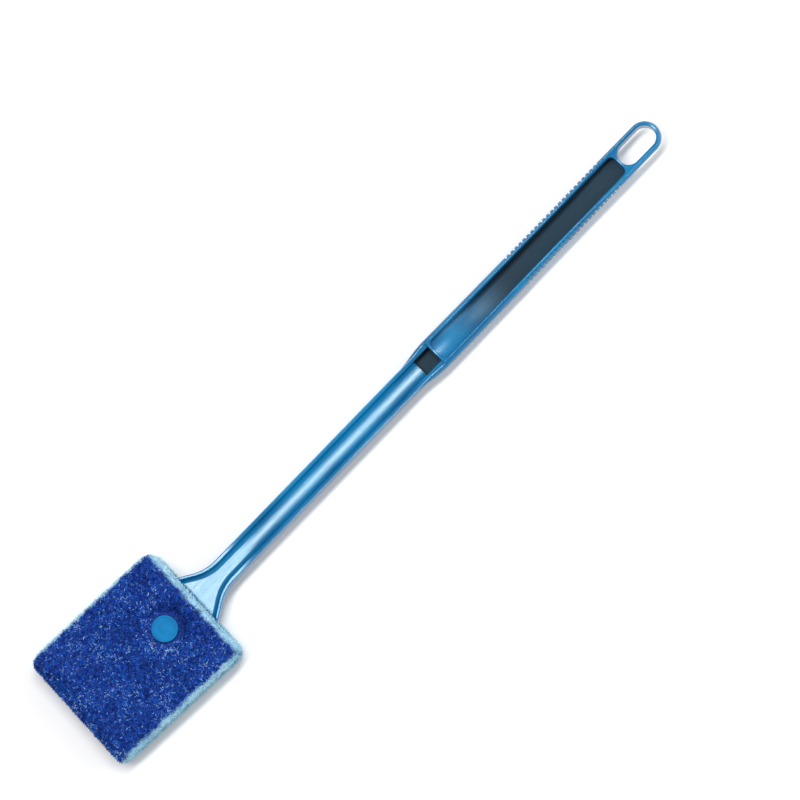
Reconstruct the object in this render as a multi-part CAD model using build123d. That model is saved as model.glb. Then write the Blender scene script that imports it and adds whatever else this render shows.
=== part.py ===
"""Long-handled double-sided algae scraper, built from its four loose pieces.

handle         one plastic moulding: head plate, flare, channel shaft, neck, grip, hang loop
scrub_pad      one thick sheet folded round the head plate, with its fold away from the handle
button_stud    front disc with a shouldered post through pad and plate
button_cap     rear disc with a sleeve that the post snaps into

Millimetres. +X runs along the handle to the hang loop, +Y across, +Z out of the front, which is
the side with the grip pocket. The origin is on the pad's rear face, under the handle's axis.
"""
import math
import os

from build123d import *

# ---- scrub pad ----
PAD_LENGTH = 81.0            # fold to free edge
PAD_WIDTH = 68.0
PAD_LAYER = 10.0             # each of the two layers
PAD_CORNER_R = 6.0           # free corners beside the handle
PAD_SKEW = -3.0              # degrees the pad has turned on its button
PAD_SLOT_CLEARANCE = 0.3     # pad to plate, each face
PAD_RIM_CLEARANCE = 0.3      # pad to the flare's rims, up and down
PAD_RIM_SIDE_ROOM = 3.5      # room beside the rims for the pad to turn

# ---- buttons ----
BUTTON_FROM_FREE_EDGE = 20.5
BUTTON_D = 13.0
BUTTON_T = 2.4
BUTTON_SEAT_ROOM = 1.0       # radial room round a disc in its dimple
BUTTON_BELOW_FACE = 0.3      # disc below the pad's face
BUTTON_OVER_SEAT = 0.3       # disc above the bottom of its dimple
BUTTON_RIM_W = 0.9
BUTTON_RIM_H = 0.4
SHOULDER_D = 8.4             # post between disc and plate
POST_D = 6.0
POST_PLATE_CLEARANCE = 0.1   # radial
POST_SLEEVE_CLEARANCE = 0.05  # radial
POST_NOSE = 0.8              # chamfer on the post's tip
POST_GRIP = 6.0              # length of post inside the sleeve
SLEEVE_WALL = 1.5
PAD_HOLE_ROOM = 0.4          # radial room round shoulder and sleeve
PLATE_SEAT_GAP = 0.1         # shoulder and sleeve to the plate

# ---- head plate and flare ----
PLATE_T = 3.0
PLATE_SIDE_INSET = 5.0       # plate edge inside the pad's edge
PLATE_END_GAP = 3.0          # plate end to the inside of the fold
PLATE_CORNER_R = 8.0
PLATE_SHOULDER_R = 12.0
FLARE_MOUTH_W = 28.5         # across the rims at the pad's free edge
FLARE_ANGLE = 32.0
FLARE_R = 24.0
FLARE_RIM_W = 1.4
RIM_RUNOUT = 9.0             # rims fade into the plate over this length inside the pad
RIM_MOUTH_H = 1.7            # rim above the plate at the pad's free edge
FLARE_L = 18.0

# ---- shaft ----
SHAFT_L = 129.5
SHAFT_W = 13.2
SHAFT_DEPTH = 8.0
SHAFT_RIM_W = 2.0
TROUGH_CORNER_R = 2.2

# ---- neck ----
NECK_L = 16.7
NECK_POCKET_L = 10.0
NECK_POCKET_SIDE = 0.2       # wider than the shaft's trough, each side
NECK_POCKET_RISE = 0.4       # its floor above the shaft's back
NECK_EDGE_R = 1.2            # outer edges of the flats beside it
CROSS_WALL_T = 1.2

# ---- grip ----
GRIP_POCKET_L = 125.2
GRIP_POCKET_W = 11.0
GRIP_POCKET_R = 2.6
LIP_W = 1.02                 # flat lip beside the pocket
GRIP_SIDE = 2.18             # the oval side swells this far past the lip
LIP_RISE = 0.8               # lips above the shaft's rims
GRIP_BACK = 8.6              # back below the middle of the plate
GRIP_FLOOR_T = 3.0           # plastic under the deepest floor
SCOOP_DROP = 3.4             # shallow end of the floor below the lips
SCOOP_EASE = 6.0             # the floor's fall starts this far before the cross wall
SCOOP_L = 36.0               # the floor reaches its depth over this length
FLOOR_END_T = 2.4            # plastic under the pocket's loop end
BACK_SWELL_L = 22.0          # the back reaches its depth this far past the cross wall
BACK_FADE_L = 42.0           # and thins to the loop over this length
BLEND_L = 8.0                # the oval starts inside the shaft this far before the neck
BLEND_SINK = 0.15            # and this far under the shaft's sides
STATIONS = 24                # sections along the grip

# ---- anti-slip grooves on the grip's sides ----
GROOVE_COUNT = 24
GROOVE_PITCH = 2.7
GROOVE_W = 1.1
GROOVE_DEPTH = 0.8
GROOVE_START = 55.0          # first groove from the cross wall
GROOVE_TOP = 0.5             # below the lips
GROOVE_BOTTOM = 4.6          # below the middle of the plate
GROOVE_WALL = 0.8            # plastic between a groove and the grip pocket

# ---- hang loop ----
LOOP_LAND = 1.1              # plastic between pocket and hole
LOOP_HOLE_L = 22.0
LOOP_HOLE_W = 11.2
LOOP_LIP_W = 1.4             # flat beside the hole
LOOP_SIDE = 1.15             # the oval side swells this far past it
LOOP_BACK = 4.6              # back below the middle of the plate

RIM_EDGE_R = 0.45            # rounding on rims, lips and loop
DISC_EDGE_R = 0.5

# ---- places worked out from the sizes ----
SLOT_HALF = PLATE_T / 2 + PAD_SLOT_CLEARANCE
PAD_HALF_T = SLOT_HALF + PAD_LAYER
MID_Z = PAD_HALF_T
X_EDGE = PAD_LENGTH / 2                      # pad's free edge
X_FOLD = X_EDGE - PAD_LENGTH
X_BUTTON = X_EDGE - BUTTON_FROM_FREE_EDGE
X_SLOT_END = X_FOLD + PAD_LAYER
X_PLATE_END = X_SLOT_END + PLATE_END_GAP
X_FLARE = X_EDGE + FLARE_L
X_NECK = X_FLARE + SHAFT_L
X_WALL = X_NECK + NECK_L                     # grip side of the cross wall
X_NECK_POCKET = X_WALL - CROSS_WALL_T - NECK_POCKET_L
X_POCKET_END = X_WALL + GRIP_POCKET_L
X_HOLE = X_POCKET_END + LOOP_LAND
X_LOOP = X_HOLE + LOOP_HOLE_L - LOOP_HOLE_W / 2
PLATE_HALF_W = PAD_WIDTH / 2 - PLATE_SIDE_INSET
SHAFT_HALF = SHAFT_DEPTH / 2
TROUGH_HALF_W = SHAFT_W / 2 - SHAFT_RIM_W
NECK_POCKET_FLOOR = NECK_POCKET_RISE - SHAFT_HALF
GRIP_FRONT = SHAFT_HALF + LIP_RISE
GRIP_LIP_HALF = GRIP_POCKET_W / 2 + LIP_W
GRIP_HALF_W = GRIP_LIP_HALF + GRIP_SIDE
GROOVE_INSIDE = GRIP_POCKET_W / 2 + GROOVE_WALL   # grooves start this far from the axis
LOOP_LIP_HALF = LOOP_HOLE_W / 2 + LOOP_LIP_W
LOOP_HALF_W = LOOP_LIP_HALF + LOOP_SIDE
DISC_TOP = PAD_HALF_T - BUTTON_BELOW_FACE
DISC_BOTTOM = DISC_TOP - BUTTON_T
SEAT_Z = DISC_BOTTOM - BUTTON_OVER_SEAT
SLEEVE_D = POST_D + 2 * (POST_SLEEVE_CLEARANCE + SLEEVE_WALL)
POST_END = -(PLATE_T / 2 + PLATE_SEAT_GAP + POST_GRIP)
FAR = 500.0                                  # longer than anything here
TOUCH = 1e-3                                 # closer than this is the same height


def turned(radius, z0, z1):
    """A round bar on the button's axis from z0 up to z1."""
    return Pos(0, 0, z0) * Cylinder(radius, z1 - z0, align=(Align.CENTER, Align.CENTER, Align.MIN))


def side_prism(points):
    """A solid as wide as needed, with the given outline in X and Z."""
    return extrude(Plane.XZ * make_face(Polyline(*points, close=True)), amount=FAR, both=True)


def slab(x0, x1, z0, z1):
    """Everything between two X planes and two Z planes."""
    return side_prism([(x0, z0), (x1, z0), (x1, z1), (x0, z1)])


def edges_at(body, *heights):
    """Every edge that lies in a flat face at one of these heights."""
    return [edge for edge in body.edges() for z in heights if abs(edge.center().Z - z) < TOUCH]


def soften(body, *heights):
    """Rounds the edges at these heights as rims are rounded."""
    return fillet(edges_at(body, *heights), RIM_EDGE_R)


def head_outline(mouth_half, shaft_half, plate_half, x_end):
    """Plan outline of head plate, flare and shaft, symmetric about the X axis."""
    slope = math.tan(math.radians(FLARE_ANGLE))
    x_bend = X_EDGE + (mouth_half - shaft_half) / slope
    x_shoulder = X_EDGE - (plate_half - mouth_half) / slope
    side = [
        (x_end, shaft_half),
        (x_bend, shaft_half),
        (x_shoulder, plate_half),
        (X_PLATE_END, plate_half),
    ]
    radii = [0, FLARE_R, PLATE_SHOULDER_R, PLATE_CORNER_R]
    points = side + [(x, -y) for x, y in reversed(side)]
    return make_face(FilletPolyline(*points, radius=radii + radii[::-1], close=True))


def trough_cutter():
    """What is cut from one side between the rims. Its floor is rounded all round, and runs level
    into the neck pocket."""
    x_end = X_NECK_POCKET + TROUGH_CORNER_R
    mouth_half = FLARE_MOUTH_W / 2 - FLARE_RIM_W / math.cos(math.radians(FLARE_ANGLE))
    plan = head_outline(mouth_half, TROUGH_HALF_W, PLATE_HALF_W - FLARE_RIM_W, x_end)
    block = extrude(Pos(0, 0, PLATE_T / 2) * plan, amount=FAR)
    return fillet(block.faces().sort_by(Axis.Z)[0].outer_wire().edges(), TROUGH_CORNER_R)


def blade():
    """Head plate, flare and shaft: a web with a rim along each edge, the same front and back."""
    plan = head_outline(FLARE_MOUTH_W / 2, SHAFT_W / 2, PLATE_HALF_W, X_WALL - CROSS_WALL_T)
    half = [
        (X_PLATE_END, PLATE_T / 2),
        (X_EDGE - RIM_RUNOUT, PLATE_T / 2),
        (X_EDGE, PLATE_T / 2 + RIM_MOUTH_H),
        (X_FLARE, SHAFT_HALF),
        (X_WALL, SHAFT_HALF),
    ]
    profile = side_prism(half + [(x, -z) for x, z in reversed(half)])
    body = extrude(plan, amount=FAR, both=True) & profile
    cutter = trough_cutter()
    body -= [cutter, mirror(cutter, Plane.XY)]
    return soften(body, SHAFT_HALF, -SHAFT_HALF)


def eased(x, x0, x1):
    """0 before x0, 1 after x1, and a smooth S between them."""
    t = min(max((x - x0) / (x1 - x0), 0.0), 1.0)
    return t * t * (3 - 2 * t)


def grip_station(x):
    """Half width, half width of the lips and depth of the back at X."""
    along = min(max((x - X_WALL) / (X_LOOP - X_WALL), 0.0), 1.0)
    swell = eased(x, X_NECK - BLEND_L, X_WALL)
    start = SHAFT_W / 2 - BLEND_SINK
    half_width = start + swell * (GRIP_HALF_W + along * (LOOP_HALF_W - GRIP_HALF_W) - start)
    fade = eased(x, X_HOLE - BACK_FADE_L, X_HOLE)
    lip_share = GRIP_LIP_HALF / GRIP_HALF_W
    lip_share += fade * (LOOP_LIP_HALF / LOOP_HALF_W - lip_share)
    start = SHAFT_HALF - BLEND_SINK
    back = start + eased(x, X_NECK - BLEND_L, X_WALL + BACK_SWELL_L) * (GRIP_BACK - start)
    back += fade * (LOOP_BACK - GRIP_BACK)
    return half_width, lip_share * half_width, back


def oval(half_width, lip_half, back, inset=0.0):
    """Ellipse down to the back whose chord at the lips' height is as wide as the lips."""
    rise = math.sqrt(1 - (lip_half / half_width) ** 2)
    half_depth = (GRIP_FRONT + back) / (1 + rise)
    return Pos(0, half_depth - back) * Ellipse(half_width - inset, half_depth - inset)


def oval_body(inset=0.0):
    """The grip's full oval outside, before its front is cut flat."""
    x_start = X_NECK - BLEND_L
    step = (X_LOOP - x_start) / (STATIONS - 1)
    sections = [
        Plane((x, 0, 0), x_dir=(0, 1, 0), z_dir=(1, 0, 0)) * oval(*grip_station(x), inset)
        for x in (x_start + i * step for i in range(STATIONS))
    ]
    return loft(sections)


def loop_end():
    """Half a turn of the loop's oval section about the middle of the hang hole's outer round."""
    section = oval(LOOP_HALF_W, LOOP_LIP_HALF, LOOP_BACK)
    half = Plane.XZ * (section & Pos(FAR / 2, 0) * Rectangle(FAR, FAR))
    round_end = revolve(half, Axis.Z, 360.0)
    return Pos(X_LOOP, 0, 0) * round_end & slab(X_LOOP, FAR, -FAR, FAR)


def floor_height(x):
    """Height of the grip pocket's floor at X: a scoop at the neck end, then the deep part."""
    deep = eased(x, X_WALL - SCOOP_EASE, X_WALL + SCOOP_L)
    fade = eased(x, X_HOLE - BACK_FADE_L, X_HOLE)
    scoop, floor, end = GRIP_FRONT - SCOOP_DROP, GRIP_FLOOR_T - GRIP_BACK, FLOOR_END_T - LOOP_BACK
    return scoop + deep * (floor - scoop) + fade * (end - floor)


def grip_floor():
    """Space above the floor of the grip pocket."""
    x_start, x_end = X_WALL - CROSS_WALL_T, X_HOLE
    step = (x_end - x_start) / (STATIONS - 1)
    line = Spline(*[(x, floor_height(x)) for x in (x_start + i * step for i in range(STATIONS))])
    lid = Polyline(line @ 1, (x_end, FAR), (x_start, FAR), line @ 0)
    return extrude(Plane.XZ * make_face([line, lid]), amount=FAR, both=True)


def grip_pocket():
    """The long pocket in the front of the grip."""
    plan = RectangleRounded(GRIP_POCKET_L, GRIP_POCKET_W, GRIP_POCKET_R)
    return extrude(Pos(X_WALL + GRIP_POCKET_L / 2, 0) * plan, amount=FAR, both=True) & grip_floor()


def neck_pocket():
    """The short deep pocket between the shaft's trough and the cross wall."""
    width = 2 * (TROUGH_HALF_W + NECK_POCKET_SIDE)
    block = Box(NECK_POCKET_L, width, FAR, align=(Align.MIN, Align.CENTER, Align.MIN))
    return Pos(X_NECK_POCKET, 0, NECK_POCKET_FLOOR) * block


def hang_hole():
    """The long round-ended hole through the loop."""
    plan = SlotOverall(LOOP_HOLE_L, LOOP_HOLE_W)
    return extrude(Pos(X_HOLE + LOOP_HOLE_L / 2, 0) * plan, amount=FAR, both=True)


def grooves():
    """Anti-slip grooves, one depth all round the sides of the grip."""
    core = oval_body(GROOVE_DEPTH)
    height = GROOVE_BOTTOM + GRIP_FRONT - GROOVE_TOP
    tooth = Pos(0, GROOVE_INSIDE, -GROOVE_BOTTOM) * Box(GROOVE_W, FAR, height, align=Align.MIN)
    pair = tooth + mirror(tooth, Plane.XZ)
    starts = [X_WALL + GROOVE_START + i * GROOVE_PITCH for i in range(GROOVE_COUNT)]
    return [Pos(x, 0, 0) * pair - core for x in starts]


def handle():
    """The whole moulding."""
    front = slab(X_NECK - NECK_L, X_WALL - CROSS_WALL_T, -FAR, SHAFT_HALF)
    front += slab(X_WALL - CROSS_WALL_T, FAR, -FAR, GRIP_FRONT)
    grip = (oval_body() + loop_end()) & front
    sides = [edge for edge in edges_at(grip, SHAFT_HALF) if abs(edge.center().Y) > TROUGH_HALF_W]
    grip = fillet(sides, NECK_EDGE_R) - trough_cutter()
    body = blade() + grip
    body -= [neck_pocket(), grip_pocket(), hang_hole()]
    body = soften(body, GRIP_FRONT) - grooves()
    post_hole = Cylinder(POST_D / 2 + POST_PLATE_CLEARANCE, FAR)
    return body - Pos(X_BUTTON, 0, 0) * post_hole


def round_nosed(x_nose, half):
    """A layer this half height from a full round nose at X onwards, as wide as needed."""
    nose = Pos(x_nose + half, 0, 0) * Rot(90, 0, 0) * Cylinder(half, FAR)
    return slab(x_nose + half, FAR, -half, half) + nose


def scrub_pad():
    """The folded sheet: two layers joined by a round fold, open on its other three sides."""
    plan = Rectangle(PAD_LENGTH, PAD_WIDTH)
    plan = fillet(plan.vertices().group_by(Axis.X)[-1], PAD_CORNER_R)
    sheet = extrude(plan, amount=PAD_HALF_T, both=True) & round_nosed(X_FOLD, PAD_HALF_T)
    sheet -= round_nosed(X_SLOT_END, SLOT_HALF)

    slope = math.tan(math.radians(FLARE_ANGLE))
    relief_l = RIM_RUNOUT + PAD_RIM_SIDE_ROOM
    relief_half = FLARE_MOUTH_W / 2 + RIM_RUNOUT * slope + PAD_RIM_SIDE_ROOM
    rim_slope = RIM_MOUTH_H / RIM_RUNOUT
    mouth = SLOT_HALF + RIM_MOUTH_H + PAD_RIM_CLEARANCE + 2 * PAD_RIM_SIDE_ROOM * rim_slope
    x_in, x_out = X_EDGE - relief_l, X_EDGE + PAD_RIM_SIDE_ROOM
    relief = side_prism([(x_in, -SLOT_HALF), (x_out, -mouth), (x_out, mouth), (x_in, SLOT_HALF)])
    sheet -= relief & Box(FAR, 2 * relief_half, FAR)

    seat_r = BUTTON_D / 2 + BUTTON_SEAT_ROOM
    hole_r = max(SHOULDER_D, SLEEVE_D) / 2 + PAD_HOLE_ROOM
    seats = [turned(seat_r, SEAT_Z, FAR), turned(seat_r, -FAR, -SEAT_Z), turned(hole_r, -FAR, FAR)]
    sheet -= [Pos(X_BUTTON, 0, 0) * seat for seat in seats]
    return Pos(X_BUTTON, 0, 0) * Rot(0, 0, PAD_SKEW) * Pos(-X_BUTTON, 0, 0) * sheet


def disc():
    """A button's disc on the front of the pad: softened edge and a thin raised rim."""
    plate = turned(BUTTON_D / 2, DISC_BOTTOM, DISC_TOP)
    plate = fillet(plate.edges().sort_by(Axis.Z)[-1], DISC_EDGE_R)
    return plate - turned(BUTTON_D / 2 - BUTTON_RIM_W, DISC_TOP - BUTTON_RIM_H, FAR)


def button_stud():
    """Front disc, shoulder that stops on the plate, and post through it."""
    post = turned(POST_D / 2, POST_END, DISC_BOTTOM)
    post = chamfer(post.edges().sort_by(Axis.Z)[0], POST_NOSE)
    shoulder = turned(SHOULDER_D / 2, PLATE_T / 2 + PLATE_SEAT_GAP, DISC_BOTTOM)
    return Pos(X_BUTTON, 0, 0) * (disc() + shoulder + post)


def button_cap():
    """Rear disc and the sleeve that takes the post, closed behind the post's tip."""
    rear = mirror(disc(), Plane.XY)
    sleeve = turned(SLEEVE_D / 2, -DISC_BOTTOM, -(PLATE_T / 2 + PLATE_SEAT_GAP))
    bore = turned(POST_D / 2 + POST_SLEEVE_CLEARANCE, POST_END - PLATE_SEAT_GAP, 0)
    return Pos(X_BUTTON, 0, 0) * (rear + sleeve - bore)


PARTS = {
    "handle": handle,
    "scrub_pad": scrub_pad,
    "button_stud": button_stud,
    "button_cap": button_cap,
}

if __name__ == "__main__":
    os.makedirs("parts", exist_ok=True)
    for name, make in PARTS.items():
        export_step(Pos(0, 0, MID_Z) * make(), f"parts/{name}.step")
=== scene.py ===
import math

import bmesh
import bpy
import numpy as np
from mathutils import Matrix, Vector


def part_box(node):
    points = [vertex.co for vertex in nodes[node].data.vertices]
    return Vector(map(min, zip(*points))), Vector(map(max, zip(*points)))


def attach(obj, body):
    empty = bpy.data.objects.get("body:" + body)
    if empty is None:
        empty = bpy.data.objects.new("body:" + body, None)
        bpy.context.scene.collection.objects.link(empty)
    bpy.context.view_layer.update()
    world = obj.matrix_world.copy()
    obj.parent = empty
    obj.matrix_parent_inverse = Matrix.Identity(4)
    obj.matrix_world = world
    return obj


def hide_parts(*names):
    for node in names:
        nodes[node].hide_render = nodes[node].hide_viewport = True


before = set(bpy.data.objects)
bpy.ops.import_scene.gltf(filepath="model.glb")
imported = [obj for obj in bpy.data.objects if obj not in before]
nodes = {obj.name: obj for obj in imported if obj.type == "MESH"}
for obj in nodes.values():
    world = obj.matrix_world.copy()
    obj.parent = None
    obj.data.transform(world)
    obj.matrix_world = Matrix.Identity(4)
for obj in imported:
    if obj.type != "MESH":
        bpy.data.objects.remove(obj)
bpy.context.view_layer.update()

MM = 0.001
SEED = 20

# ---- places from the frame ----
PAD_LOW, PAD_HIGH = (np.array(corner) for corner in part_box("scrub_pad"))
STUD_LOW, STUD_HIGH = (np.array(corner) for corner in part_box("button_stud"))
BUTTON = (STUD_LOW + STUD_HIGH) / 2
DISC_R = (STUD_HIGH[0] - STUD_LOW[0]) / 2
MID_Z = (PAD_LOW[2] + PAD_HIGH[2]) / 2          # middle of the head plate

# ---- the folded sheet, in its own axes: X from the button to the free edge, Z from the plate ----
PAD_SKEW = math.radians(-3.0)                   # the pad has turned this far on its button
NAP = 0.9 * MM                                  # room left for the fibres
SHEET_FREE = 20.5 * MM - NAP                    # button to the free edges
SHEET_FOLD = -60.5 * MM + NAP                   # button to the outside of the fold
SHEET_HALF_W = 34.0 * MM - NAP
SHEET_CORNER_R = 6.0 * MM                       # free corners, in plan
SLOT_HALF = 1.8 * MM                            # plate to the inside of a layer
LAYER_HALF = ((PAD_HIGH[2] - MID_Z) - NAP - SLOT_HALF) / 2
LAYER_MID = SLOT_HALF + LAYER_HALF              # plate to the middle of a layer
EDGE_ROUND = 3.6 * MM                           # rounding of the cut edges
FLAT_L = SHEET_FREE - (SHEET_FOLD + LAYER_MID + LAYER_HALF)
FOLD_L = math.pi * LAYER_MID
SHEET_L = 2 * FLAT_L + FOLD_L                   # along the middle, free edge to free edge
SEAT_R = DISC_R + 1.6 * MM                      # flat seat under the disc
DIMPLE_R = DISC_R + 9.0 * MM                    # the dimple fades out here
HOLE_R = 4.95 * MM                              # bored for the button's post and sleeve

# ---- the handle's recesses, where shade is painted on the floors, and its web, in metres; a pair is where a share starts and where it is full
GRIP_SHADE_X = (0.214, 0.256)                    # painted shade and a duller finish on the grip pocket's floor grow along here
GRIP_END_X = (0.3296, 0.3302)                   # its loop end
GRIP_HALF_Y = (0.0055, 0.0057)                  # its side walls
GRIP_SHADE_Z = (0.0110, 0.0158)                  # full painted shade and dull finish below these, none above
GRIP_BACK_Z = 0.0047                            # midway between its floor and the back under it
GRIP_BACK_CURVE = 36.0                          # rise of that midway for Y squared
GRIP_THIN_X = (0.289, 0.331)                    # the grip thins towards the loop along here
GRIP_THIN_Z = 0.0037                            # and the midway rises by this
GRIP_FLOOR_EDGE = (-0.0004, 0.0002)             # the share starts this far from the midway
NECK_START_X = (0.1932, 0.1936)
NECK_END_X = (0.2034, 0.2038)
NECK_HALF_Y = (0.0048, 0.0050)
NECK_BACK_Z = (0.0076, 0.0080)                  # the back under the neck pocket
# painted shade in the neck pocket: full below the first height, none above the second
NECK_SHADE_Z = (0.0112, 0.0130)
WEB_DISH_X = (0.062, 0.085)                     # the web's dish starts along here
WEB_DISH = 22.0                                 # its height for Y squared, a radius of 23 mm


# ------------------------------------------------------------------ materials
class Signal:
    """An output socket of a material; arithmetic on it adds Math nodes."""

    def __init__(self, finish, socket):
        self.finish, self.socket = finish, socket

    def math(self, operation, *values):
        """The result of a Math node on these values."""
        sockets = dict(enumerate(values))
        return self.finish.node("ShaderNodeMath", {"operation": operation}, sockets)["Value"]

    def __add__(self, other):
        return self.math("ADD", self, other)

    def __sub__(self, other):
        return self.math("SUBTRACT", self, other)

    def __rsub__(self, other):
        return self.math("SUBTRACT", other, self)

    def __mul__(self, other):
        return self.math("MULTIPLY", self, other)

    __radd__ = __add__
    __rmul__ = __mul__

    def between(self, low, high):
        """0 where this is at low, 1 where it is at high, with a smooth rise between them."""
        sockets = {"Value": self, "From Min": low, "From Max": high}
        settings = {"interpolation_type": "SMOOTHSTEP", "clamp": True}
        return self.finish.node("ShaderNodeMapRange", settings, sockets)["Result"]


class Outputs:
    """A node's outputs by name or number, as signals."""

    def __init__(self, finish, node):
        self.finish, self.sockets = finish, node.outputs

    def __getitem__(self, key):
        return Signal(self.finish, self.sockets[key])


class Finish:
    """One material: a Principled shader and the nodes that drive it."""

    def __init__(self, name, **constants):
        self.material = bpy.data.materials.new(name)
        self.material.use_nodes = True
        self.tree = self.material.node_tree
        self.tree.nodes.clear()
        self.shader = self.tree.nodes.new("ShaderNodeBsdfPrincipled")
        output = self.tree.nodes.new("ShaderNodeOutputMaterial")
        self.tree.links.new(self.shader.outputs["BSDF"], output.inputs["Surface"])
        self.feed({key.replace("_", " "): value for key, value in constants.items()})

    def put(self, socket, value):
        """Links a signal to a socket, or sets the socket to a plain value."""
        if isinstance(value, Signal):
            self.tree.links.new(value.socket, socket)
        else:
            socket.default_value = value

    def node(self, kind, settings, sockets):
        """Adds a node of this kind: its settings first, then its sockets by name or number."""
        node = self.tree.nodes.new(kind)
        for key, value in settings.items():
            if key == "stops":
                set_stops(node.color_ramp, value)
            else:
                setattr(node, key, value)
        for key, value in sockets.items():
            self.put(node.inputs[key], value)
        return Outputs(self, node)

    def feed(self, sockets):
        """Sets or links sockets of the Principled shader."""
        for key, value in sockets.items():
            self.put(self.shader.inputs[key], value)

    def place(self, scale=(1, 1, 1)):
        """The point on the piece in metres, stretched by scale along X, Y and Z."""
        here = self.node("ShaderNodeTexCoord", {}, {})["Object"]
        return self.node("ShaderNodeMapping", {}, {"Vector": here, "Scale": scale})["Vector"]

    def axes(self):
        """X, Y and Z of the point on the piece, in metres."""
        here = self.node("ShaderNodeTexCoord", {}, {})["Object"]
        parts = self.node("ShaderNodeSeparateXYZ", {}, {"Vector": here})
        return parts["X"], parts["Y"], parts["Z"]

    def noise(self, vector, scale, detail=3.0, rough=0.5):
        """Smooth cloudy noise from 0 to 1."""
        sockets = {"Vector": vector, "Scale": scale, "Detail": detail, "Roughness": rough}
        return self.node("ShaderNodeTexNoise", {}, sockets)["Fac"]

    def mix(self, factor, first, second, blend="MIX"):
        """first where factor is 0 and second where it is 1; both are colours."""
        settings = {"data_type": "RGBA", "blend_type": blend}
        return self.node("ShaderNodeMix", settings, {0: factor, 6: first, 7: second})[2]

    def bump(self, height, depth, strength=1.0):
        """The normal of a surface raised by height times depth, in metres."""
        sockets = {"Height": height, "Distance": depth, "Strength": strength}
        return self.node("ShaderNodeBump", {}, sockets)["Normal"]

    def attribute(self, name):
        """The number stored on the mesh under this name."""
        return self.node("ShaderNodeAttribute", {"attribute_name": name}, {})["Fac"]


def set_stops(ramp, stops):
    """Gives a colour ramp these (place, colour) stops."""
    while len(ramp.elements) < len(stops):
        ramp.elements.new(1.0)
    for element, (place, colour) in zip(ramp.elements, stops):
        element.position, element.color = place, colour


def paint(red, green, blue):
    """A display colour of 0 to 255 a channel as the linear colour that a shader takes."""
    shares = [channel / 255 for channel in (red, green, blue)]
    return tuple(c / 12.92 if c < 0.04045 else ((c + 0.055) / 1.055) ** 2.4 for c in shares) + (1.0,)


def pocket_shade_share(finish):
    """How much painted shade, with a duller finish, a point gets in the neck pocket or in the far part
    of the grip pocket, 0 to 1. Each is a band across the handle, above the plastic under its floor,
    which curves up towards the sides as the oval back does, and below its mouth."""
    x, y, z = finish.axes()
    aside = y.math("ABSOLUTE", y)
    under = x.between(*GRIP_THIN_X) * GRIP_THIN_Z + (y * y * GRIP_BACK_CURVE + GRIP_BACK_Z)
    along = x.between(*GRIP_SHADE_X) * (1 - x.between(*GRIP_END_X))
    grip = along * (1 - aside.between(*GRIP_HALF_Y))
    grip = grip * (z - under).between(*GRIP_FLOOR_EDGE) * (1 - z.between(*GRIP_SHADE_Z))
    neck = x.between(*NECK_START_X) * (1 - x.between(*NECK_END_X)) * (1 - aside.between(*NECK_HALF_Y))
    neck = neck * z.between(*NECK_BACK_Z) * (1 - z.between(*NECK_SHADE_Z))
    return grip + neck


def moulded_plastic():
    """Glossy cyan-blue moulding: faint flow clouds, long fine scratches, a soft mould skin, and painted
    shade with a duller finish on the deep pockets' floors. The shaft's web is very slightly dished."""
    finish = Finish("handle_plastic", IOR=1.58, Specular_Tint=(0.72, 0.97, 1.0, 1.0))
    clouds = finish.noise(finish.place((30, 90, 90)), 1.0, 3.0)
    scratches = finish.noise(finish.place((60, 2600, 2600)), 1.0, 4.0, 0.65)
    skin = finish.noise(finish.place(), 2200.0, 2.0)
    pocket_shade = pocket_shade_share(finish)
    x, y, _ = finish.axes()
    dish = x.between(*WEB_DISH_X) * (y * y * WEB_DISH)
    body = finish.mix(clouds.between(0.3, 0.7), paint(2, 94, 144), paint(8, 118, 170))
    worn = finish.mix(scratches.between(0.62, 0.8) * 0.25, body, paint(90, 180, 215))
    finish.feed({
        # painted shade: the deep pocket floors are darkened nearly to black
        "Base Color": finish.mix(pocket_shade * 0.92, worn, paint(0, 16, 34)),
        "Roughness": 0.16 + 0.1 * clouds + 0.14 * scratches.between(0.5, 0.8) + 0.5 * pocket_shade,
        "Normal": finish.bump((skin * 0.4 + scratches) * 0.000025 + dish, 1.0),
    })
    return finish.material


def button_plastic():
    """Satin blue moulding of the button, with a slightly mottled skin."""
    finish = Finish("button_plastic", IOR=1.4, Specular_Tint=(0.3, 0.75, 1.0, 1.0))
    mottle = finish.noise(finish.place(), 260.0, 4.0, 0.6)
    skin = finish.noise(finish.place(), 3000.0, 2.0)
    body = finish.mix(mottle.between(0.3, 0.7), paint(2, 102, 160), paint(8, 118, 178))
    finish.feed({
        "Base Color": body,
        "Roughness": 0.5 + 0.12 * mottle,
        "Normal": finish.bump(skin, 0.00004, 0.5),
    })
    return finish.material


def pad_core():
    """The sheet under its fibres: dark in the depth of the nap and pale at the cut edges."""
    finish = Finish("pad_core", Roughness=0.9)
    cut = finish.attribute("cut")
    lumps = finish.noise(finish.place(), 900.0, 3.0, 0.6)
    ground = finish.mix(lumps.between(0.35, 0.7), paint(0, 24, 96), paint(14, 72, 172))
    finish.feed({
        "Base Color": finish.mix(cut, ground, paint(160, 214, 236)),
        "Normal": finish.bump(lumps, 0.0005, 1.0),
    })
    return finish.material


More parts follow.
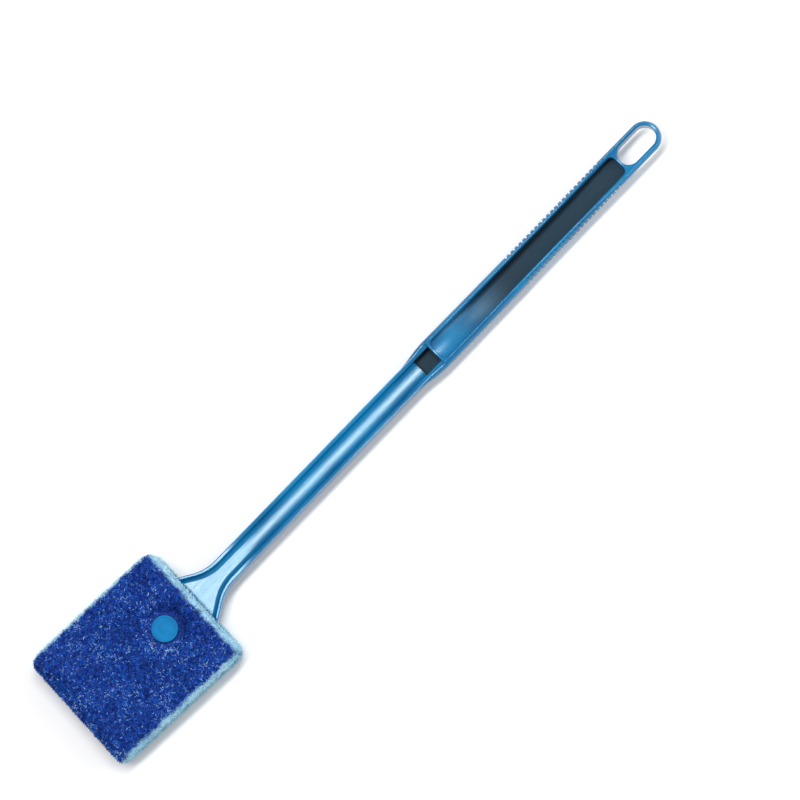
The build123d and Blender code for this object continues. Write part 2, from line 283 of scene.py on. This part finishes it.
def pad_fibre():
    """The fibres: each has its own tone, which also carries painted shade and light round the button's
    dimple, and those on the cut edges are pale.
    """
    finish = Finish("pad_fibre", Roughness=0.5, IOR=1.35, Specular_Tint=(0.4, 0.7, 1.0, 1.0))
    tone, cut = finish.attribute("tone"), finish.attribute("cut")
    stops = [
        (0.0, paint(0, 12, 84)),
        (0.4, paint(2, 58, 164)),
        (0.7, paint(36, 116, 226)),
        (1.0, paint(190, 230, 255)),
    ]
    blue = finish.node("ShaderNodeValToRGB", {"stops": stops}, {"Fac": tone})["Color"]
    pale = finish.mix(tone, paint(150, 214, 238), paint(230, 248, 254))
    finish.feed({"Base Color": finish.mix(cut, blue, pale)})
    return finish.material


def pale_floor():
    """Nearly white paper."""
    finish = Finish("studio_floor", Roughness=0.9)
    grain = finish.noise(finish.place(), 40.0)
    finish.feed({"Base Color": finish.mix(grain, paint(246, 246, 246), paint(250, 250, 250))})
    return finish.material


# ------------------------------------------------------------------ meshes
def put_mesh(name, points, faces, material, smooth=True):
    """A mesh object at the origin from arrays of points and of faces with as many corners each."""
    mesh = bpy.data.meshes.new(name)
    mesh.vertices.add(len(points))
    mesh.vertices.foreach_set("co", points.astype(np.float32).ravel())
    corners = faces.shape[1]
    mesh.loops.add(faces.size)
    mesh.loops.foreach_set("vertex_index", faces.astype(np.int32).ravel())
    mesh.polygons.add(len(faces))
    mesh.polygons.foreach_set("loop_start", np.arange(0, faces.size, corners, dtype=np.int32))
    mesh.polygons.foreach_set("use_smooth", np.full(len(faces), smooth))
    mesh.update(calc_edges=True)
    mesh.materials.append(material)
    piece = bpy.data.objects.new(name, mesh)
    bpy.context.scene.collection.objects.link(piece)
    return piece


def give_attribute(piece, name, values):
    """Stores one number for each vertex under this name."""
    layer = piece.data.attributes.new(name, "FLOAT", "POINT")
    layer.data.foreach_set("value", values.astype(np.float32))


def read_points(mesh):
    """The mesh's vertices as rows of X, Y and Z."""
    points = np.empty(len(mesh.vertices) * 3, np.float32)
    mesh.vertices.foreach_get("co", points)
    return points.reshape(-1, 3).astype(float)


def apply_modifiers(piece):
    """Makes the evaluated mesh the piece's own, and drops its modifiers."""
    graph = bpy.context.evaluated_depsgraph_get()
    mesh = bpy.data.meshes.new_from_object(piece.evaluated_get(graph))
    piece.modifiers.clear()
    piece.data = mesh


def rise(value, low, high):
    """0 at low, 1 at high, and a smooth S between them."""
    share = np.clip((value - low) / (high - low), 0.0, 1.0)
    return share * share * (3 - 2 * share)


def ring_of_section(flat_count, round_count):
    """Round a layer's cross-section: (across, up), each from -1 to 1, for a bar with half-round
    sides. Across counts the flat from -1 to 1 and then the rounding's own cosine, as two arrays."""
    flat = np.linspace(1, -1, flat_count, endpoint=False)
    turn = np.linspace(0, np.pi, round_count, endpoint=False)
    across = np.concatenate([flat, -np.ones(round_count), -flat, np.ones(round_count)])
    out = np.concatenate([0 * flat, -np.sin(turn), 0 * flat, np.sin(turn)])
    up = np.concatenate([1 + 0 * flat, np.cos(turn), -1 + 0 * flat, -np.cos(turn)])
    return across, out, up


def on_fold(along):
    """Where the middle of the sheet lies at this length from the front layer's free edge, and
    which way it faces: a straight layer, half a turn round the plate's end, and a straight layer."""
    centre = SHEET_FREE - FLAT_L
    turn = np.clip((along - FLAT_L) / LAYER_MID, 0, np.pi)
    past = np.clip(along - FLAT_L - FOLD_L, 0, None)
    before = np.clip(FLAT_L - along, 0, None)
    x = centre + before + past - LAYER_MID * np.sin(turn)
    return x, LAYER_MID * np.cos(turn), -np.sin(turn), np.cos(turn)


def sheet_surface():
    """The folded sheet as one closed grid. Rows run along the sheet from free edge to free edge,
    and each row is a ring round the layer's section, which shrinks to a line at both free edges
    as a quarter ellipse does, with the corners rounded in plan."""
    half_end = np.sin(np.linspace(0, np.pi / 2, 7))[:-1]
    ends = (1 - np.sqrt(1 - half_end**2)) * EDGE_ROUND
    middle = np.linspace(EDGE_ROUND, SHEET_L - EDGE_ROUND, 64)
    along = np.concatenate([ends, middle, SHEET_L - ends[::-1]])[:, None]
    from_end = np.minimum(along, SHEET_L - along)
    inside = np.clip(1 - from_end / EDGE_ROUND, 0, 1)
    half_t = LAYER_HALF * np.sqrt(np.clip(1 - inside**2, 0, 1))
    corner = np.clip(SHEET_CORNER_R - from_end, 0, None)
    half_w = SHEET_HALF_W - SHEET_CORNER_R + np.sqrt(SHEET_CORNER_R**2 - corner**2)
    side_r = EDGE_ROUND * np.sqrt(np.clip(1 - inside**2, 0, 1))
    across, out, up = ring_of_section(26, 9)
    y = across * (half_w - side_r) + out * side_r
    x, z, face_x, face_z = on_fold(along)
    layer = up * half_t
    points = np.stack([x + face_x * layer, y, z + face_z * layer], axis=-1)
    return points, up * np.ones_like(along)


def ring_faces(rows, columns):
    """Quads between neighbouring rows of a grid whose columns close on themselves."""
    row, column = np.meshgrid(np.arange(rows - 1), np.arange(columns), indexing="ij")
    after = (column + 1) % columns
    here, there = row * columns, (row + 1) * columns
    quads = np.stack([here + column, there + column, there + after, here + after], axis=-1)
    return quads.reshape(-1, 4)


def to_frame(points):
    """From the sheet's own axes to the frame: turned by the skew about the button."""
    cosine, sine = math.cos(PAD_SKEW), math.sin(PAD_SKEW)
    x, y, z = points[..., 0], points[..., 1], points[..., 2]
    turned = [BUTTON[0] + cosine * x - sine * y, sine * x + cosine * y, MID_Z + z]
    return np.stack(turned, axis=-1)


def to_sheet(points):
    """The reverse of to_frame."""
    cosine, sine = math.cos(PAD_SKEW), math.sin(PAD_SKEW)
    x, y, z = points[..., 0] - BUTTON[0], points[..., 1], points[..., 2] - MID_Z
    return np.stack([cosine * x + sine * y, cosine * y - sine * x, z], axis=-1)


def shaped(points, up):
    """Dimples both outer faces round the button with a ridge round the front one, lifts the inner
    faces over the flare's rims, brings them together at the free corners, and adds the sheet's
    slow waves and one soft crease beside the fold."""
    x, y, z = points[..., 0], points[..., 1], points[..., 2]
    side = np.sign(z)
    reach = np.hypot(x, y)
    outer = rise(up, -0.2, 0.9) * (np.abs(z) > SLOT_HALF)
    seat = LAYER_MID + LAYER_HALF - (STUD_HIGH[2] - MID_Z - 2.4 * MM - 0.8 * MM)
    dimple = seat * (1 - rise(reach, SEAT_R, DIMPLE_R)) ** 1.4
    crease = 0.9 * MM * np.exp(-(((x - SHEET_FOLD - 15 * MM - 0.15 * y) / (4 * MM)) ** 2))
    waves = 0.35 * MM * (np.sin(x * 118 + y * 41 + 1.0) * np.sin(y * 96 - x * 23 + 0.4))
    swell = 0.5 * MM * np.cos(np.clip(y / SHEET_HALF_W, -1, 1) * np.pi / 2)
    ridge = np.where(z > 0, 1.7 * MM, 0.0) * np.exp(-(((reach - 15.5 * MM) / (6 * MM)) ** 2))
    moved = outer * (waves + swell + ridge - dimple - crease - 0.5 * MM)
    rims = rise(x, SHEET_FREE - 12 * MM, SHEET_FREE + 2 * MM) * (1 - rise(np.abs(y), 17 * MM, 24 * MM))
    inner = 1 - rise(up, -0.9, 0.6)
    corners = rise(x, SHEET_FREE - 8 * MM, SHEET_FREE - MM) * rise(np.abs(y), 23 * MM, 29 * MM)
    lift = inner * (rims * 2.7 * MM - corners * (SLOT_HALF - 0.15 * MM))
    flat = np.where(np.abs(z) > 0, side * (moved + lift), 0)
    facing = rise(SHEET_FOLD + 10 * MM - x, 0, 6 * MM)
    return np.stack([x, y, z + flat * (1 - facing)], axis=-1)


def scrub_sheet(material):
    """The folded sheet as a closed mesh, dimpled and puffed."""
    points, up = sheet_surface()
    rows, columns = up.shape
    points = shaped(points, up)
    points = to_frame(points).reshape(-1, 3)
    return put_mesh("scrub_pad_sheet", points, ring_faces(rows, columns), material)


def close_up(piece):
    """Merges the collapsed ends of the grid and turns every face outwards."""
    work = bmesh.new()
    work.from_mesh(piece.data)
    bmesh.ops.remove_doubles(work, verts=work.verts, dist=0.02 * MM)
    bmesh.ops.recalc_face_normals(work, faces=work.faces)
    work.to_mesh(piece.data)
    work.free()


def bore(piece, material):
    """Cuts a round hole through both layers on the button's axis, for its post and sleeve."""
    count = 64
    turn = np.linspace(0, 2 * np.pi, count, endpoint=False)
    ring = np.stack([BUTTON[0] + HOLE_R * np.cos(turn), HOLE_R * np.sin(turn)], axis=-1)
    low, high = (np.column_stack([ring, np.full(count, z)]) for z in (-0.01, PAD_HIGH[2] + 0.01))
    ends = np.array([(BUTTON[0], 0, -0.01), (BUTTON[0], 0, PAD_HIGH[2] + 0.01)])
    here = np.arange(count)
    after = (here + 1) % count
    faces = np.concatenate([
        np.stack([here, after, after + count], axis=-1),
        np.stack([here, after + count, here + count], axis=-1),
        np.stack([after, here, np.full(count, 2 * count)], axis=-1),
        np.stack([here + count, after + count, np.full(count, 2 * count + 1)], axis=-1),
    ])
    cutter = put_mesh("pad_bore", np.concatenate([low, high, ends]), faces, material)
    cut = piece.modifiers.new("bore", "BOOLEAN")
    cut.operation, cut.solver, cut.object = "DIFFERENCE", "EXACT", cutter
    apply_modifiers(piece)
    bpy.data.objects.remove(cutter)


def refine(piece, levels):
    """Catmull-Clark subdivision, applied."""
    finer = piece.modifiers.new("finer", "SUBSURF")
    finer.levels = finer.render_levels = levels
    apply_modifiers(piece)


def places_hash(points, size):
    """A number from 0 to 1 that is the same all through each cube of this size, and unlike its
    neighbours': the fraction of 43758.5 sin(12.99 i + 78.23 j + 37.72 k) for cube i, j, k."""
    cube = np.floor(points / size)
    return np.abs(np.sin(cube @ np.array([12.99, 78.23, 37.72])) * 43758.5) % 1.0


def nap_tone(spots, rng):
    """Tone of each fibre from 0 to 1: tufts that differ from their neighbours, slow mottling, and
    painted shade as a dark crescent on the free-edge side of the button's dimple, with a little painted
    light on its other side."""
    place = to_sheet(spots)
    x, y, z = place[:, 0], place[:, 1], place[:, 2]
    tuft = places_hash(place, 0.75 * MM) ** 1.5
    mottle = 0.09 * np.sin(x * 205 + 1.3 * np.sin(y * 130)) * np.sin(y * 173 + 0.8 * np.sin(x * 95))
    reach = np.maximum(np.hypot(x, y), MM)
    # painted shade on the dimple's wall towards the free edge, and painted light on its wall towards the
    # fold
    wall = np.exp(-(((reach - 9.2 * MM) / (2.8 * MM)) ** 2)) * np.where(z > 0, x / reach, 0)
    tone = 0.72 * tuft + 0.36 * rng.beta(0.9, 1.6, len(spots)) + mottle
    return np.clip(tone - np.where(wall > 0, 0.6, 0.22) * wall, 0, 1)


def cut_share(points):
    """How near a point is to the sheet's cut edges, from 0 inside to 1 on the edge."""
    place = to_sheet(points)
    x, y, z = place[:, 0], place[:, 1], place[:, 2]
    from_side = SHEET_HALF_W - np.abs(y)
    from_free = SHEET_FREE - x
    spread = (places_hash(place, 1.1 * MM) - 0.5) * 0.7 * MM
    drift = 0.2 * MM * (np.sin(x * 331 + z * 190) + np.sin(x * 817 + y * 543 + 2.0))
    side = 1 - rise(from_side + spread + drift, 0.5 * MM, np.where(y > 0, 1.5, 2.3) * MM)
    free = 1 - rise(from_free + spread + drift, 0.9 * MM, 3.4 * MM)
    return np.maximum(side, free)


def surface_samples(piece, count, keep, rng):
    """Random points spread evenly over the faces, with their normals, that keep() accepts."""
    mesh = piece.data
    mesh.calc_loop_triangles()
    triangles = np.empty(len(mesh.loop_triangles) * 3, np.int32)
    mesh.loop_triangles.foreach_get("vertices", triangles)
    points = read_points(mesh)
    corners = points[triangles.reshape(-1, 3)]
    first, second = corners[:, 1] - corners[:, 0], corners[:, 2] - corners[:, 0]
    normals = np.cross(first, second)
    areas = np.linalg.norm(normals, axis=1)
    centres = corners.mean(axis=1)
    unit = normals / np.maximum(areas, 1e-20)[:, None]
    weights = areas * keep(centres, unit)
    chosen = rng.choice(len(areas), count, p=weights / weights.sum())
    a, b = rng.random(count), rng.random(count)
    over = a + b > 1
    a, b = np.where(over, 1 - a, a), np.where(over, 1 - b, b)
    spots = corners[chosen, 0] + a[:, None] * first[chosen] + b[:, None] * second[chosen]
    return spots, unit[chosen]


def unit_rows(vectors):
    """Each row scaled to a length of one."""
    return vectors / np.maximum(np.linalg.norm(vectors, axis=-1, keepdims=True), 1e-12)


FIBRE_SIDES = 3
FIBRE_RINGS = np.array([0.0, 0.45, 0.8])        # shares of the length; the tip is at 1


def fibre_faces():
    """Triangles of one fibre: walls between rings, a pointed tip and a closed root."""
    faces = []
    for ring in range(len(FIBRE_RINGS) - 1):
        for side in range(FIBRE_SIDES):
            after = (side + 1) % FIBRE_SIDES
            low, high = ring * FIBRE_SIDES, (ring + 1) * FIBRE_SIDES
            faces += [(low + side, low + after, high + after), (low + side, high + after, high + side)]
    last = (len(FIBRE_RINGS) - 1) * FIBRE_SIDES
    tip = last + FIBRE_SIDES
    faces += [(last + side, last + (side + 1) % FIBRE_SIDES, tip) for side in range(FIBRE_SIDES)]
    faces.append((0, 2, 1))
    return np.array(faces)


def fibres(name, spots, normals, length, radius, lean, rng, material):
    """Many curled fibres in one mesh. Each is a tube along a quadratic curve that leaves its root
    leaning from the normal, and bends over sideways towards its tip. Those that would dip below
    the floor are raised onto it."""
    count = len(spots)
    sideways = unit_rows(np.cross(normals, rng.normal(size=(count, 3))))
    start = unit_rows(normals + lean[:, None] * sideways)
    bend = unit_rows(np.cross(start, rng.normal(size=(count, 3))))
    curl = rng.uniform(0.3, 0.9, count)[:, None]
    share = np.append(FIBRE_RINGS, 1.0)[:, None, None]
    size = length[:, None]
    path = spots - 0.25 * MM * normals + start * size * share + bend * size * curl * share**2
    path -= normals * size * 0.25 * share**2
    around = np.linspace(0, 2 * np.pi, FIBRE_SIDES, endpoint=False)
    third = unit_rows(np.cross(start, bend))
    wall = np.cos(around)[:, None, None] * bend + np.sin(around)[:, None, None] * third
    thick = radius[:, None] * (1 - 0.35 * share[:-1])
    rings = path[:-1, None] + wall[None] * thick[:, None]
    rings = rings.reshape(-1, count, 3)
    points = np.concatenate([rings, path[-1:]]).transpose(1, 0, 2)
    faces = fibre_faces()
    each = points.shape[1]
    all_faces = faces[None] + (np.arange(count) * each)[:, None, None]
    points[..., 2] += np.clip(0.05 * MM - points[..., 2].min(axis=1), 0, None)[:, None]
    piece = put_mesh(name, points.reshape(-1, 3), all_faces.reshape(-1, 3), material)
    give_attribute(piece, "tone", np.repeat(nap_tone(spots, rng), each))
    give_attribute(piece, "cut", np.repeat(cut_share(spots), each))
    return piece


def nap(sheet, material):
    """Fibres over every outer face of the sheet, in pieces small enough to stay whole."""
    rng = np.random.default_rng(SEED)
    per_piece, pieces = 9000, 5

    def outside(points, normals):
        """Where fibres grow: not in the slot, under the button or in the flare's mouth."""
        place = to_sheet(points)
        turned = to_sheet(points + normals * MM) - place
        inner = (np.abs(place[:, 2]) < SLOT_HALF + LAYER_HALF) & (turned[:, 2] * place[:, 2] < 0)
        deep = SHEET_HALF_W - np.abs(place[:, 1]) > 1.5 * MM
        not_end = SHEET_FREE - place[:, 0] > 1.5 * MM
        fold = place[:, 0] < SHEET_FOLD + 8 * MM
        hidden = inner & deep & not_end & ~fold
        in_slot = (np.abs(place[:, 2]) < SLOT_HALF + 1.6 * MM) & not_end
        in_slot &= place[:, 0] > SHEET_FOLD + 6 * MM
        button = np.hypot(place[:, 0], place[:, 1]) < DISC_R + 1.0 * MM
        mouth = (np.abs(place[:, 1]) < 21 * MM) & (np.abs(place[:, 2]) < SLOT_HALF + 4.6 * MM)
        mouth &= place[:, 0] > SHEET_FREE - 5 * MM
        return ~(hidden | in_slot | button | mouth)

    spots, normals = surface_samples(sheet, per_piece * pieces, outside, rng)
    made = []
    for index in range(pieces):
        part = slice(index * per_piece, (index + 1) * per_piece)
        near = np.hypot(*to_sheet(spots[part])[:, :2].T) < DISC_R + 3.0 * MM
        length = rng.uniform(1.0, 1.9, per_piece) * MM * np.where(near, 0.5, 1.0)
        radius = rng.uniform(0.14, 0.26, per_piece) * MM
        lean = rng.uniform(0.2, 1.5, per_piece)
        made.append(fibres(
            f"scrub_pad_nap_{index + 1}", spots[part], normals[part], length, radius, lean, rng, material
        ))
    return made


# ------------------------------------------------------------------ studio
def soft_box(name, direction, distance, length, width, glow, target):
    """A soft box whose long side lies along X as near as it can, looking at the target from this
    direction. Its glow is how bright it looks, against 1 for a white wall."""
    lamp = bpy.data.lights.new(name, "AREA")
    lamp.shape, lamp.size, lamp.size_y = "RECTANGLE", length, width
    lamp.energy = glow * math.pi * length * width
    holder = bpy.data.objects.new(name, lamp)
    bpy.context.scene.collection.objects.link(holder)
    away = Vector(direction).normalized()
    side = Vector((1, 0, 0)) - away * away.x
    axes = Matrix((side.normalized(), away.cross(side.normalized()), away)).transposed()
    holder.matrix_world = Matrix.Translation(Vector(target) + away * distance) @ axes.to_4x4()


def studio():
    """Floor, world, lights and the camera."""
    scene = bpy.context.scene
    scene.view_settings.view_transform = "Standard"
    floor = put_mesh(
        "studio_floor",
        np.array([(-2, -2, 0), (2, -2, 0), (2, 2, 0), (-2, 2, 0)], float),
        np.array([(0, 1, 2, 3)]),
        pale_floor(),
        smooth=False,
    )
    world = bpy.data.worlds.new("studio_world")
    world.use_nodes = True
    background = world.node_tree.nodes["Background"]
    background.inputs["Color"].default_value = (1.0, 1.0, 1.0, 1.0)
    background.inputs["Strength"].default_value = 0.44
    scene.world = world

    # The view looks down on the front, leaning a little over the -Y side, and is rolled so that
    # the handle runs up to the right.
    lean, roll = math.radians(8.0), math.radians(45.88)
    along = Vector((1, 0, 0))
    across = Vector((0, math.cos(lean), math.sin(lean)))
    towards = Vector((0, -math.sin(lean), math.cos(lean)))
    right = along * math.cos(roll) - across * math.sin(roll)
    upward = along * math.sin(roll) + across * math.cos(roll)
    target = Vector((0.1761, -0.0031, MID_Z))
    camera = bpy.data.cameras.new("camera")
    camera.lens, camera.sensor_width = 188.2, 36.0
    holder = bpy.data.objects.new("camera", camera)
    scene.collection.objects.link(holder)
    axes = Matrix((right, upward, towards)).transposed().to_4x4()
    holder.matrix_world = Matrix.Translation(target + towards * 2.0) @ axes
    scene.camera = holder

    mirror_way = Vector((0, math.sin(lean), math.cos(lean)))
    soft_box("strip_box", mirror_way, 1.3, 0.95, 0.18, 24.0, target)
    soft_box("side_box", 0.8 * towards + 0.95 * right + 0.5 * upward, 1.2, 0.9, 0.7, 2.9, target)


# ------------------------------------------------------------------ the object
studio()

plastic, satin, core, fibre = moulded_plastic(), button_plastic(), pad_core(), pad_fibre()
for name, material in {"handle": plastic, "button_stud": satin, "button_cap": satin}.items():
    for spot in nodes[name].material_slots:
        spot.material = material

sheet = scrub_sheet(core)
close_up(sheet)
refine(sheet, 2)
bore(sheet, core)
give_attribute(sheet, "cut", cut_share(read_points(sheet.data)))
sheet.data.polygons.foreach_set("use_smooth", np.ones(len(sheet.data.polygons), bool))
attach(sheet, "scrub_pad")
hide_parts("scrub_pad")
for piece in nap(sheet, fibre):
    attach(piece, "scrub_pad")
